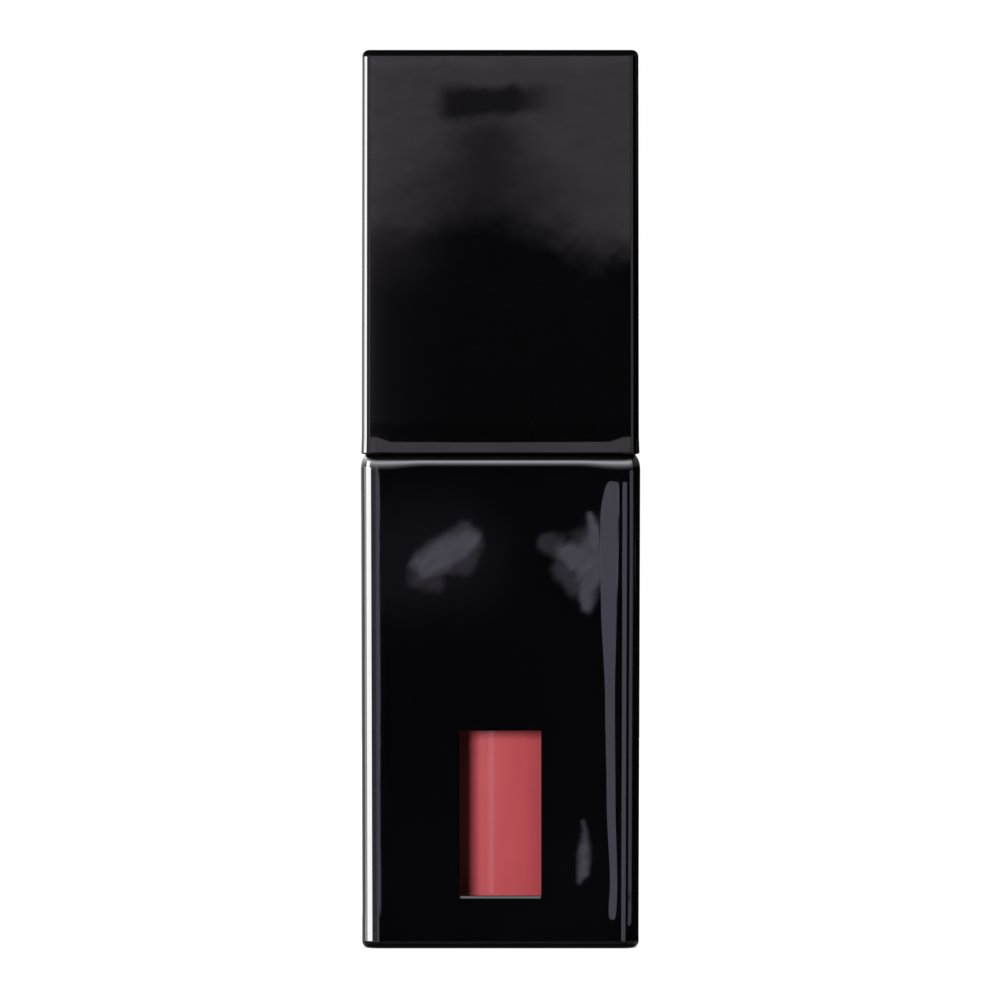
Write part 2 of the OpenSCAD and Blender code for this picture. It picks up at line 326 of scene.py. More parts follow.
def tumbled_metal(name):
    material, _, shader = moulded(name, (0.44, 0.43, 0.42), (0.57, 0.56, 0.54), (0.22, 0.42), 3500,
                                  0.003 * MM, 900)
    shader.inputs["Metallic"].default_value = 1.0
    return material


def smeared_stem(name):
    """Black acetal rod; its lower part carries a broken film of colour."""
    material, tree, shader = moulded(name, (0.010, 0.010, 0.011), (0.018, 0.018, 0.020), (0.15, 0.3), 2500,
                                     0.0015 * MM)
    split = tree.nodes.new("ShaderNodeSeparateXYZ")
    tree.links.new(tree.nodes.new("ShaderNodeTexCoord").outputs["Object"], split.inputs["Vector"])
    lower = tree.nodes.new("ShaderNodeMapRange")
    lower.inputs["From Min"].default_value = FILL_HIGH.z
    lower.inputs["From Max"].default_value = FILL_LOW.z
    tree.links.new(split.outputs["Z"], lower.inputs["Value"])
    film = math_node(tree, "ADD", grain(tree, 700, 5.0, (1, 1, 0.35)), lower.outputs["Result"])
    vary_colour(tree, shader.inputs["Base Color"], film, (0.012, 0.012, 0.013), (0.50, 0.075, 0.088),
                0.85, 0.95)
    return material


def flock_material(name):
    material, _, shader = moulded(name, (0.26, 0.036, 0.046), (0.46, 0.078, 0.09), (0.75, 0.95), 6000,
                                  0.02 * MM, 2500)
    shader.inputs["Sheen Weight"].default_value = 0.4
    shader.inputs["Sheen Roughness"].default_value = 0.4
    return material


# ------------------------------------------------------------------ square shells

def face_stations():
    """Places along one face, as (kind, value): half a corner's arc, the flat, and half of the next arc."""
    left_arc = [("arc", turn) for turn in spread(-45, 0, ARC_STEPS)[:-1]]
    rim = [("rim", share) for share in spread(0, 1, RIM_STEPS)]
    rim.insert(-1, ("rim", 0.985))      # keeps the flat flat up to the arc
    middle = [("middle", share) for share in spread(-1, 1, MIDDLE_STEPS)[1:-1]]
    left_rim = [("rim", -share) for _, share in reversed(rim[1:])] + [("middle", -1)]
    right_arc = [("arc", turn) for turn in spread(0, 45, ARC_STEPS)[1:-1]]
    return left_arc + left_rim + middle + rim + right_arc


def station_point(station, half, radius, z, lift):
    """One station on the -Y face, moved outward by lift(lateral place, turn round the corner, height)."""
    kind, value = station
    straight = half - radius
    turn = math.radians(value) if kind == "arc" else 0.0
    if kind == "middle":
        lateral = value * RELIEF_START
    elif kind == "rim":
        lateral = math.copysign(RELIEF_START + (straight - RELIEF_START) * abs(value), value)
    else:
        lateral = math.copysign(straight, value)
    reach = radius + lift(lateral, turn, z)
    return (lateral + reach * math.sin(turn), -straight - reach * math.cos(turn))


def level(*_):
    """No relief anywhere."""
    return 0.0


def square_ring(half, radius, z, lift=level, sag=level):
    """Points round a rounded square, face by face: front, right, back, left.

    lift moves them outward, and sag(lateral place, height) moves them down.
    """
    stations = face_stations()
    ring = []
    for quarter in range(4):
        for station in stations:
            x, y = station_point(station, half, radius, z, lift)
            lateral = x
            for _ in range(quarter):
                x, y = -y, x
            ring.append(Vector((x, y, z - sag(lateral, z))))
    return ring


def round_ring(like, radius, z):
    """A circle whose points lie in the same directions as another ring's."""
    ring = []
    for p in like:
        flat = Vector((p.x, p.y, 0)).normalized() * radius
        ring.append(Vector((flat.x, flat.y, z)))
    return ring


def ring_faces(rings, wrap=False):
    """Quads between each ring of points and the next."""
    size = len(rings[0])
    count = len(rings) if wrap else len(rings) - 1
    for r in range(count):
        low, high = r * size, (r + 1) % len(rings) * size
        for c in range(size):
            d = (c + 1) % size
            yield (low + c, low + d, high + d, high + c)


def shell_rows(foot_r, top_in, top_down, base, top, wall):
    """(inset, height) up the outside of a shell: round foot, wall, round top."""
    quarter = spread(0, math.pi / 2, ARC_STEPS)
    rows = [(foot_r * (1 - math.sin(t)), base + foot_r * (1 - math.cos(t))) for t in quarter[:-1]]
    rows += [(0.0, z) for z in wall]
    rows += [(top_in * (1 - math.cos(t)), top - top_down * (1 - math.sin(t))) for t in quarter[1:]]
    return rows


def wall_heights(low, high, count):
    """Evenly spread heights with a support row close to each end."""
    heights = spread(low, high, count)
    return [heights[0], low + SUPPORT] + heights[1:-1] + [high - SUPPORT, heights[-1]]


def case_half(z):
    """Half the case's width at a height: it narrows towards the foot."""
    return CASE_HALF - CASE_DRAFT * (1 - z / CASE_TOP)


# Middle and width of the faint fall near each face's right edge, against height, all in millimetres
SINK_MIDDLE = [(3.1, 9.58), (5.2, 9.7), (12.7, 9.47), (21.2, 9.38), (29.8, 9.27), (36.7, 9.3), (41, 9.54)]
SINK_WIDTH = [(3.1, 0.8), (5.2, 0.66), (12.7, 0.82), (21.2, 0.92), (29.8, 1.5), (36.7, 1.7), (41, 1.2)]
SINK_SLOPE = 0.0285             # the fall over its width
SINK_FOOT = (2.3, 3.6)          # it starts between these heights


def case_sink(lateral, turn, z):
    """The faint fall of each face towards its right edge, as moulded walls have over a rib."""
    height = z / MM
    middle, width = curve_through(SINK_MIDDLE, height), curve_through(SINK_WIDTH, height)
    fall = SINK_SLOPE * width * smoothstep(middle - width / 2, middle + width / 2, lateral / MM)
    return -fall * MM * smoothstep(*SINK_FOOT, height) * max(0.0, math.cos(2 * turn))


def case_sag(lateral, z):
    """The rounding under the deck comes down further towards the corners."""
    start = CASE_TOP - CASE_TOP_DOWN
    share = smoothstep(start - CASE_SAG_FADE, start, z) if z < start else (CASE_TOP - z) / CASE_TOP_DOWN
    return CASE_SAG * share * smoothstep(6.5, 10.2, abs(lateral) / MM)


def case_skin():
    """Case with a deck hole and an open foot; the window is cut out of it afterwards."""
    wall = wall_heights(CASE_FOOT_R, CASE_TOP - CASE_TOP_DOWN, 66)
    rings = []
    for inset, z in shell_rows(CASE_FOOT_R, CASE_TOP_IN, CASE_TOP_DOWN, 0, CASE_TOP, wall):
        rings.append(square_ring(case_half(z) - inset, CASE_EDGE_R - inset, z, case_sink, case_sag))
    deck_under = CASE_TOP - DECK_T
    rings.append(round_ring(rings[-1], DECK_HOLE_R, CASE_TOP))
    rings.append(round_ring(rings[-1], DECK_HOLE_R, deck_under))
    for z in (deck_under, 0):
        rings.append(square_ring(CASE_HALF - CASE_WALL, INNER_EDGE_R, z))
    skin = piece_from("case_skin", [p for ring in rings for p in ring], list(ring_faces(rings, wrap=True)))
    subtract(skin, window_cutter())
    return skin


def cap_flare(lateral, _, z):
    """The cap's lowest band leans out a little; the band is taller at the corners."""
    height = CAP_FLARE_LOW + (CAP_FLARE_TALL - CAP_FLARE_LOW) * smoothstep(9, 10.7, abs(lateral) / MM)
    return CAP_FLARE_SLOPE * max(0.0, CAP_LOW.z + height - z)


def cap_skin():
    """Cap shell: closed roof, and a square cavity open at the bottom."""
    flare_top = CAP_LOW.z + 1.6 * MM        # just above the flared band
    wall = wall_heights(CAP_LOW.z + CAP_FOOT_R, flare_top, 20)[:-2]
    wall += wall_heights(flare_top, CAP_HIGH.z - CAP_TOP_R, 40)[2:]
    rings = []
    for inset, z in shell_rows(CAP_FOOT_R, CAP_TOP_R, CAP_TOP_R, CAP_LOW.z, CAP_HIGH.z, wall):
        half = CAP_HALF - CAP_DRAFT * (z - CAP_LOW.z) / (CAP_HIGH.z - CAP_LOW.z) - inset
        rings.append(square_ring(half, CAP_EDGE_R - inset, z, cap_flare))
    top_edge = rings[-1]
    for share in (0.9, 0.5, 0.1):
        rings.append([Vector((p.x * share, p.y * share, CAP_HIGH.z)) for p in top_edge])
    roof = CAP_HIGH.z - CAP_ROOF_T
    cavity = [square_ring(CAP_HIGH.x - CAP_WALL, INNER_EDGE_R, z) for z in (CAP_LOW.z, roof)]
    roof_edge = cavity[-1]
    cavity += [[Vector((p.x * share, p.y * share, roof)) for p in roof_edge] for share in (0.9, 0.1)]
    rings = list(reversed(cavity)) + rings
    size = len(rings[0])
    faces = list(ring_faces(rings))
    faces.append(tuple(range(size)))
    faces.append(tuple(range((len(rings) - 1) * size, len(rings) * size)))
    return piece_from("cap_skin", [p for ring in rings for p in ring], faces)


# ------------------------------------------------------------------ window and colour

def window_ring(grow, depth, drop=0.0):
    """The window's outline, grown all round and set back from the case's leaning face.

    drop lowers its lower edge.
    """
    radius = max(0.02 * MM, WINDOW_CORNER_R + grow)
    half_w = WINDOW_HALF + grow - radius
    half_h = (WINDOW_HIGH - WINDOW_LOW) / 2 + grow - radius
    ring = []
    for quarter, (side_x, side_z) in enumerate(((1, 1), (-1, 1), (-1, -1), (1, -1))):
        for turn in spread(quarter * math.pi / 2, (quarter + 1) * math.pi / 2, 6):
            x = side_x * half_w + radius * math.cos(turn)
            z = WINDOW_MIDDLE + side_z * half_h + radius * math.sin(turn) - (drop if side_z < 0 else 0)
            ring.append(Vector((x, -case_half(z) + depth, z)))
    return ring


def window_block(name, steps):
    """A closed block through outlines of the window, front to back, each given as window_ring takes it."""
    rings = [window_ring(*step) for step in steps]
    size = len(rings[0])
    faces = list(ring_faces(rings))
    faces.append(tuple(range(size)))
    faces.append(tuple(range((len(rings) - 1) * size, len(rings) * size)))
    return piece_from(name, [p for ring in rings for p in ring], faces)


def window_cutter():
    """The opening, with a sloping sill below."""
    proud = 0.5 * MM
    return window_block("window_cutter", [
        (0, -proud, SILL_DROP + proud), (0, SILL_DROP), (0, CASE_WALL + proud)])


def window_pane():
    """Clear pane: a face just inside the opening, a lip behind the wall, and a hollow back."""
    back = LENS_HIGH.y + case_half(WINDOW_MIDDLE)
    pane = window_block("window_pane", [
        (PANE_BOND, PANE_DEPTH), (PANE_BOND, CASE_WALL), (LENS_LIP, CASE_WALL), (LENS_LIP, back)])
    around_vial = VIAL_R + 0.15 * MM
    hollow = [(0, 0), (around_vial, 0), (around_vial, CASE_TOP), (0, CASE_TOP)]
    subtract(pane, lathe("pane_cutter", hollow, 256))
    return pane


def mask_edge(pane, mask):
    """The pane's edges and shoulder, which the case's wall covers, are printed black so they can't glow."""
    pane.data.materials.append(mask)
    for face in pane.data.polygons:
        in_opening = abs(face.center.x) < WINDOW_HALF and WINDOW_LOW < face.center.z < WINDOW_HIGH
        face.material_index = 0 if in_opening or face.normal.y > 0.3 else 1


def mask_cut(case, mask):
    """The cut edge round the window is matt black too, except for the sloping sill."""
    case.data.materials.append(mask)
    slack = 0.01 * MM
    for face in case.data.polygons:
        x, y, z = face.center
        in_opening = abs(x) < WINDOW_HALF + slack and WINDOW_LOW - slack < z < WINDOW_HIGH + slack
        if in_opening and -CASE_HALF < y < CASE_WALL - CASE_HALF and abs(face.normal.y) < 0.3:
            face.material_index = 1


def subtract(obj, cutter):
    """Cuts one closed mesh out of another and sets the shading of the result."""
    modifier = obj.modifiers.new("cut", "BOOLEAN")
    modifier.operation = "DIFFERENCE"
    modifier.solver = "EXACT"
    modifier.object = cutter
    bpy.context.view_layer.update()
    evaluated = obj.evaluated_get(bpy.context.evaluated_depsgraph_get())
    result = bpy.data.meshes.new_from_object(evaluated)
    obj.modifiers.clear()
    obj.data = result
    bpy.data.objects.remove(cutter)
    bm = bmesh.new()
    bm.from_mesh(result)
    finish_mesh(bm, result)


def lathe(name, outline, steps):
    """A closed turned body. outline is (radius, z) points; points on the axis close its ends."""
    points, rings = [], []
    for radius, z in outline:
        if radius < 1e-9:
            rings.append([len(points)])
            points.append(Vector((0, 0, z)))
            continue
        ring = []
        for k in range(steps):
            turn = 2 * math.pi * k / steps
            ring.append(len(points))
            points.append(Vector((radius * math.cos(turn), radius * math.sin(turn), z)))
        rings.append(ring)
    faces = []
    closed = len(rings[0]) > 1
    pairs = list(zip(rings, rings[1:])) + ([(rings[-1], rings[0])] if closed else [])
    for low, high in pairs:
        for k in range(steps):
            n = (k + 1) % steps
            if len(low) == 1:
                faces.append((low[0], high[n], high[k]))
            elif len(high) == 1:
                faces.append((low[k], low[n], high[0]))
            else:
                faces.append((low[k], low[n], high[n], high[k]))
    return piece_from(name, points, faces)


def fillet(before, corner, after, radius, steps=5):
    """Points that round one corner of an outline."""
    b, c, a = Vector(before), Vector(corner), Vector(after)
    to_b, to_a = (b - c).normalized(), (a - c).normalized()
    half = to_b.angle(to_a) / 2
    reach = radius / math.tan(half)
    start, end = c + to_b * reach, c + to_a * reach
    centre = c + (to_b + to_a).normalized() * (radius / math.sin(half))
    result = []
    for k in range(steps + 1):
        straight = start.lerp(end, k / steps) - centre
        result.append(tuple(centre + straight.normalized() * radius))
    return result


def product_body():
    """The colour, wetting the vial's wall: a clear bore for the wand and a climbing rim on top."""
    wet = BORE_R + 0.03 * MM
    climb = 0.7 * MM
    low, top = WINDOW_LOW - 0.6 * MM, FILL_HIGH.z - climb
    bore = 2.45 * MM
    well = FILL_LOW.z + 1 * MM
    outline = [(0, low)]
    outline += fillet((0, low), (wet, low), (wet, top), 0.45 * MM)
    outline += [(wet, top + climb), (wet - 0.15 * MM, top + 0.35 * MM), (wet - 0.5 * MM, top + 0.1 * MM)]
    outline += [(wet - 1.2 * MM, top), (bore + 0.6 * MM, top - 0.02 * MM)]
    outline += fillet((bore + 0.6 * MM, top), (bore, top), (bore, well), 0.3 * MM)
    outline += [(bore, well), (0, well)]
    return lathe("lip_colour", outline, 160)


# ------------------------------------------------------------------ light

CAP_TINT = (0.95, 0.87, 1.0)
BAND_TINT = (0.80, 0.76, 1.0)
CLOUD_TINT = (0.84, 0.79, 1.0)
MIRROR_SCALE = 3                # a flat face shows a distant sheet this many times smaller than it is
FAR = (MIRROR_SCALE - 1) * FRONT_DISTANCE

# How far a face's lean moves what it mirrors
CASE_LEAN = 2 * CASE_DRAFT / CASE_TOP * FAR / MIRROR_SCALE
CAP_LEAN = 2 * CAP_DRAFT / (CAP_HIGH.z - CAP_LOW.z) * FAR / MIRROR_SCALE


def card(name, point_at, columns, rows, glow, receivers, tint=(1, 1, 1)):
    """A glowing sheet that only its receivers see. glow(u, v) is its radiance at each place."""
    us, vs = spread(0, 1, columns), spread(0, 1, rows)
    rings = [[point_at(u, v) for u in us] for v in vs]
    width = columns + 1
    faces = [(r * width + c, r * width + c + 1, (r + 1) * width + c + 1, (r + 1) * width + c)
             for r in range(rows) for c in range(columns)]
    mesh = bpy.data.meshes.new(name)
    mesh.from_pydata([tuple(p) for ring in rings for p in ring], [], faces)
    glowing = mesh.attributes.new("glow", "FLOAT", "POINT")
    glowing.data.foreach_set("value", [glow(u, v) for v in vs for u in us])
    obj = bpy.data.objects.new(name, mesh)
    bpy.context.scene.collection.objects.link(obj)
    mesh.materials.append(card_material(name, tint))
    obj.visible_camera = False
    obj.visible_shadow = False
    obj.light_linking.receiver_collection = receivers


def card_material(name, tint):
    """Light that adds to whatever lies behind it, so one sheet never hides another."""
    material = bpy.data.materials.new(name)
    material.use_nodes = True
    tree = material.node_tree
    tree.nodes.clear()
    emission = tree.nodes.new("ShaderNodeEmission")
    emission.inputs["Color"].default_value = (*tint, 1)
    attribute = tree.nodes.new("ShaderNodeAttribute")
    attribute.attribute_name = "glow"
    tree.links.new(attribute.outputs["Fac"], emission.inputs["Strength"])
    both = tree.nodes.new("ShaderNodeAddShader")
    tree.links.new(emission.outputs["Emission"], both.inputs[0])
    tree.links.new(tree.nodes.new("ShaderNodeBsdfTransparent").outputs["BSDF"], both.inputs[1])
    tree.links.new(both.outputs["Shader"], tree.nodes.new("ShaderNodeOutputMaterial").inputs["Surface"])
    material.cycles.emission_sampling = "NONE"
    return material


def upright_card(name, yaws, distance, heights, profile, soft_end=0.0, **options):
    """A curved upright sheet. Yaw 0 is in front of the window and 90 to the right of it.

    profile is its radiance as (yaw, radiance) points, and both ends fade over soft_end metres.
    """
    low, high = heights

    def place_at(u, v):
        return yaws[0] + (yaws[1] - yaws[0]) * u, low + (high - low) * v

    def point_at(u, v):
        yaw, z = place_at(u, v)
        return Vector((distance * math.sin(math.radians(yaw)), -distance * math.cos(math.radians(yaw)), z))

    def glow_at(u, v):
        yaw, z = place_at(u, v)
        glow = curve_through(profile, yaw)
        if not soft_end:
            return glow
        return glow * smoothstep(low, low + soft_end, z) * (1 - smoothstep(high - soft_end, high, z))
    card(name, point_at, 24, 40, glow_at, **options)


def group(name, objects):
    collection = bpy.data.collections.new(name)
    for obj in objects:
        collection.objects.link(obj)
    return collection


def ragged(x, z, scale_x, scale_z, seed):
    """Fractal noise over a face, about -1 to 1."""
    return noise.fractal(Vector((x * scale_x, z * scale_z, seed)), 1.0, 2.0, 4)


def cap_sky(x, z):
    """Radiance over the cap's face, in mm: a pale sky that ends raggedly, with a dark bar and a haze."""
    off = abs(x + 1.0 + 0.9 * ragged(x, z, 0.3, 0.6, 5.1)) * (0.85 if x < -1 else 1.0)
    rim = 63.4 - 0.33 * min(8.5, max(0.0, off - 1)) - 0.9 * ragged(x, z, 0.25, 0.3, 2.7)
    rim += 1.4 * smoothstep(-6.5, -10.5, x)
    sky = smoothstep(rim - 2.9, rim + 1.9, z + 0.5 * ragged(x, z, 0.8, 1.6, 9.3))
    sky += 0.2 * smoothstep(55, 60, z) * smoothstep(-3, -8, x) * (1 - sky)
    haze_width = 2.7 + 0.95 * min(4.4, max(0.0, 69.2 - z))
    haze = math.exp(-(off / haze_width) ** 2)
    sky *= 1 - 0.68 * haze * smoothstep(72.4, 69.6, z)
    bar_x = smoothstep(-6.3, -4.0, x + 0.4 * ragged(x, z, 0.5, 0.9, 4.0)) * (1 - smoothstep(0.8, 6.2, x))
    thick = 1.35 - 0.06 * x
    off_bar = abs(z - 72.55 - 0.06 * x + 0.3 * ragged(x, z, 0.6, 0.6, 7.0))
    bar_z = 1 - smoothstep(0.45 * thick, 1.35 * thick, off_bar)
    sky *= 1 - 0.85 * bar_x * bar_z
    sky *= 1 + 0.12 * ragged(x, z, 0.35, 1.1, 8.0) + 0.12 * ragged(x, z, 1.2, 2.6, 6.0) * smoothstep(8, -4, x)
    left_edge = min(0.4, 0.24 * math.exp((-11.2 - x) / 0.8)) + 0.025 * smoothstep(-4, -10, x)
    return 0.86 * sky + 0.2 * smoothstep(74.5, 76.5, z) + 0.035 + left_edge


def stroke(x, z, start, end, strength):
    """A soft patch along a line. start and end are (x, z, radius); its outline is ragged."""
    x += 0.35 * ragged(x, z, 0.45, 0.45, 1.7)
    z += 0.35 * ragged(x, z, 0.45, 0.45, 6.1)
    along_x, along_z = end[0] - start[0], end[1] - start[1]
    t = ((x - start[0]) * along_x + (z - start[1]) * along_z) / (along_x ** 2 + along_z ** 2)
    t = min(1.0, max(0.0, t))
    radius = start[2] + (end[2] - start[2]) * t
    reach = math.hypot(x - start[0] - along_x * t, z - start[1] - along_z * t) / radius
    rising, falling = x + z, z - x
    cover = 1 - smoothstep(0.3, 1.4, reach + 0.24 * ragged(rising, falling, 0.28, 1.1, 3.9))
    return strength * cover * (1 + 0.2 * ragged(rising, falling, 0.3, 1.2, 8.2))


CLOUDS = [
    # the left one rises to the right, with a dim skirt on both ends
    ((-6.5, 32.8, 1.3), (-4.9, 33.6, 1.6), 1.2),
    ((-4.9, 33.7, 1.6), (-2.9, 34.9, 1.35), 1.15),
    ((-7.0, 31.7, 1.0), (-5.4, 31.4, 0.9), 0.4),
    ((-8.0, 33.2, 5.0), (-4.0, 33.8, 5.0), 0.06),
    ((-3.2, 32.7, 0.9), (-1.9, 34.6, 0.8), 0.4),
    # the right one: a tip, a body that meets the streak, a spike and a lower tip
    ((4.0, 34.9, 0.9), (5.6, 33.8, 1.1), 0.42),
    ((5.6, 33.7, 1.0), (8.4, 32.9, 2.2), 1.15),
    ((7.75, 37.1, 0.3), (8.45, 34.5, 1.3), 1.15),
    ((7.9, 32.8, 1.95), (7.3, 29.3, 0.5), 1.1),
    ((5.3, 32.2, 1.0), (6.7, 30.8, 0.9), 0.5),
    ((8.9, 33.4, 2.7), (16, 33.4, 2.7), 1.15),
    # the low one is a spindle
    ((6.95, 10.9, 0.16), (7.2, 8.9, 0.5), 0.7),
    ((7.2, 8.7, 0.55), (7.1, 6.5, 0.62), 1.0),
    ((7.1, 6.5, 0.55), (6.75, 5.6, 0.25), 0.7),
]


def case_sky(x, z):
    """Radiance over the case's face, in mm: three clouds on black, and none beside the streak."""
    beside_streak = smoothstep(9.8, 10.0, x) * (1 - smoothstep(10.8, 11.0, x))
    return 1.5 * (1 - beside_streak) * max(stroke(x, z, *cloud) for cloud in CLOUDS)


def face_card(name, heights, sky, lean, quarter=0, fine=1.0, **options):
    """A distant sheet that a flat face mirrors to a camera square to it.

    heights is its extent in millimetres on the face, and sky(x, z) its radiance there, in millimetres
    too. quarter picks the face, counted from the front, and fine scales the number of its cells.
    """
    low, high = heights
    out = CASE_HALF + FAR
    along, across = math.cos(quarter * math.pi / 2), math.sin(quarter * math.pi / 2)
    left, right = -15, 23

    def face_place(u, v):
        return left + (right - left) * u, low + (high - low) * v

    def point_at(u, v):
        x, z = face_place(u, v)
        x *= MIRROR_SCALE * MM
        height = MIRROR_SCALE * z * MM - (MIRROR_SCALE - 1) * CAMERA_Z
        return Vector((x * along + out * across, x * across - out * along, height))

    def glow_at(u, v):
        x, z = face_place(u, v)
        return max(0.0, sky(x, z + lean / MM) * (1 - smoothstep(right - 3, right, abs(x))))
    card(name, point_at, int(190 * fine), int(240 * fine), glow_at, **options)


def side_sky(x, z, quarter):
    """A plainer pale sky for the cap's other three faces."""
    drift = 0.12 * ragged(x, z, 0.15, 0.11, 11.0 * quarter)
    glow = 0.95 * smoothstep(0.05, 0.3, (z - 55.6) / 53 + drift)
    return glow * (1 + 0.15 * ragged(x, z, 0.25, 0.35, quarter)) * (1 - smoothstep(15, 20, abs(x)))


def side_cards(cap_only, case_only):
    """What the other three faces mirror: that sky above, and clouds like the front's below."""
    for quarter in (1, 2, 3):
        def cap_side(x, z, quarter=quarter):
            return side_sky(x, z, quarter)

        def case_side(x, z, flip=-1 if quarter == 2 else 1):
            return 0.8 * case_sky(flip * x, z)
        face_card(f"card_side_cap_{quarter}", (52, 108), cap_side, 0.0, quarter, 0.4,
                  tint=CAP_TINT, receivers=cap_only)
        face_card(f"card_side_case_{quarter}", (-4, 46), case_side, CASE_LEAN, quarter, 0.5,
                  tint=CLOUD_TINT, receivers=case_only)


def top_edge_card(case_only):
    """A ring of light above, which draws the line along the case's top edge."""
    round_about = [(-150, 5), (-50, 7.2), (40, 7.2), (62, 5.5), (70, 0.3), (150, 0.3), (165, 5), (210, 5)]
    upward = [(1.5, 0.0), (3, 0.03), (8, 0.12), (13, 0.34), (19, 0.7), (25, 1.25), (32, 0.6), (40, 0.03)]

    radius, start, low, high = 0.8, -150, 1, 42

    def place_at(u, v):
        return start + 360 * u, low + (high - low) * v

    def point_at(u, v):
        yaw, pitch = (math.radians(angle) for angle in place_at(u, v))
        return Vector((radius * math.cos(pitch) * math.sin(yaw), -radius * math.cos(pitch) * math.cos(yaw),
                       CASE_TOP + radius * math.sin(pitch)))

    def glow_at(u, v):
        yaw, pitch = place_at(u, v)
        return curve_through(round_about, yaw) * curve_through(upward, pitch)
    card("card_top_edge", point_at, 72, 42, glow_at, tint=(0.93, 0.95, 1.0), receivers=case_only)


def zenith_card(receivers):
    """A small sheet overhead."""
    def point_at(u, v):
        return Vector((-0.1 + 0.2 * u, -0.25 + 0.3 * v, 0.7))
    card("card_zenith", point_at, 4, 4, lambda u, v: 2.4, receivers=receivers)


def window_line(pane_only):
    """The strip that draws the fine line in the window."""
    upright_card("card_window_line", (-23, -8), 0.84, (-0.1, 0.17), [(-23, 0.0), (-14, 0.5), (-8, 0.0)],
                 receivers=pane_only, tint=BAND_TINT)


def area_lamp(name, shape, size, energy, location, receivers, towards=None):
    """A lamp that lights only its receivers and that the camera doesn't see.

    It shines straight down, or against the direction towards.
    """
    data = bpy.data.lights.new(name, "AREA")
    data.shape = shape
    data.size, data.size_y = size
    data.energy = energy
    lamp = bpy.data.objects.new(name, data)
    lamp.location = location
    if towards:
        lamp.rotation_euler = towards.to_track_quat("Z", "Y").to_euler()
    lamp.visible_camera = False
    bpy.context.scene.collection.objects.link(lamp)
    lamp.light_linking.receiver_collection = receivers


def window_lamp(colour):
    """A lamp on the left that lights only the colour, so the window's wall shades its left and top edge."""
    distance, yaw, pitch = 0.5, math.radians(-16), math.radians(6)
    towards = Vector((math.sin(yaw) * math.cos(pitch), -math.cos(yaw) * math.cos(pitch), math.sin(pitch)))
    target = Vector((0, -BORE_R, WINDOW_MIDDLE))
    area_lamp("window_lamp", "RECTANGLE", (0.115, 0.11), 2.25, target + towards * distance,
              group("colour_only", [colour]), towards)


def bench_lamp(parts):
    """A broad lamp for the matt parts that show when the cap is lifted."""
    location = Vector((-0.3, -0.6, 0.5))
    area_lamp("bench_lamp", "DISK", (0.5, 0.5), 4.5, location, group("matt_parts", parts),
              location - Vector((0, 0, CASE_TOP)))


def make_lights(case, cap, pane, colour, others):
    """Sheets that the pieces mirror, each for the pieces that need it, and lamps for the matt ones."""
    case_only = group("case_only", [case])
    cap_only = group("cap_only", [cap])
    pane_only = group("pane_only", [pane])
    outside = group("outside", [case, cap] + others)
    not_cap = group("not_cap", [case] + others)
    face_card("card_front_cap", (40, 104), cap_sky, -CAP_LEAN, tint=CAP_TINT, receivers=cap_only)
    face_card("card_front_case", (-4, 46), case_sky, CASE_LEAN, tint=CLOUD_TINT, receivers=case_only)
    side_cards(cap_only, case_only)
    top_edge_card(case_only)
    zenith_card(group("case_and_pane", [case, pane]))
    window_line(pane_only)
    window_lamp(colour)
    bench_lamp(others)
    upright_card("card_key", (-87.3, -48), 0.55, (-0.035, 0.11), [(-87, 14), (-78, 21), (-48, 22)],
                 receivers=outside)
    upright_card("card_key_edge", (-114, -92.7), 0.55, (-0.035, 0.11), [(-113, 1.2), (-101, 5), (-93, 9)],
                 receivers=outside)
    upright_card("card_back_left", (-172, -114), 0.6, (-0.12, 0.26), [(-114, 0.55)],
                 soft_end=0.07, receivers=outside)
    upright_card("card_left_soft", (-46, -3.5), 0.9, (-0.2, 0.3),
                 [(-46, 0.65), (-22, 0.65), (-10, 1.6), (-5, 1.6), (-3.5, 0.0)],
                 soft_end=0.08, tint=BAND_TINT, receivers=outside)
    upright_card("card_left_band", (-3.5, -1.5), 0.9, (-0.049, 0.0388), [(-1.5, 2.0)],
                 soft_end=0.002, tint=BAND_TINT, receivers=case_only)
    upright_card("card_right_soft", (2.3, 28), 0.9, (-0.06, 0.0297), [(2.2, 1.6), (24, 1.6), (28, 0.0)],
                 tint=BAND_TINT, receivers=not_cap)
    upright_card("card_right_far", (43.5, 70), 0.9, (-0.05, 0.0455), [(43, 1.3), (61, 1.3), (70, 0.2)],
                 soft_end=0.004, tint=BAND_TINT, receivers=not_cap)
    upright_card("card_right_cap", (3, 42), 0.88, (0.03, 0.2),
                 [(3, 0.0), (7, 0.6), (13, 0.85), (26, 0.85), (42, 0.0)], tint=CAP_TINT, receivers=cap_only)
    upright_card("card_key_high", (-86, -54), 0.56, (0.11, 0.32),
                 [(-86, 12), (-78, 20), (-62, 20), (-54, 0)], receivers=case_only)


def make_floor():
    """A plain white disc with its own lamp, which no piece mirrors."""
    bm = bmesh.new()
    bmesh.ops.create_circle(bm, cap_ends=True, segments=96, radius=0.6)
    mesh = bpy.data.meshes.new("floor")
    bm.to_mesh(mesh)
    bm.free()
    floor = bpy.data.objects.new("floor", mesh)
    bpy.context.scene.collection.objects.link(floor)
    floor.location.z = -0.02 * MM
    floor.visible_glossy = False
    floor.visible_diffuse = False
    floor.visible_transmission = False
    material, _, shader = new_material("floor_white")
    shader.inputs["Base Color"].default_value = (0.85, 0.85, 0.86, 1)
    shader.inputs["Roughness"].default_value = 0.9
    shader.inputs["Specular IOR Level"].default_value = 0.0
    shader.inputs["Emission Color"].default_value = (1, 1, 1, 1)
    shader.inputs["Emission Strength"].default_value = 0.62
    mesh.materials.append(material)
    area_lamp("floor_lamp", "DISK", (1.2, 1.2), 9, (0, 0, 0.9), group("floor_only", [floor]))


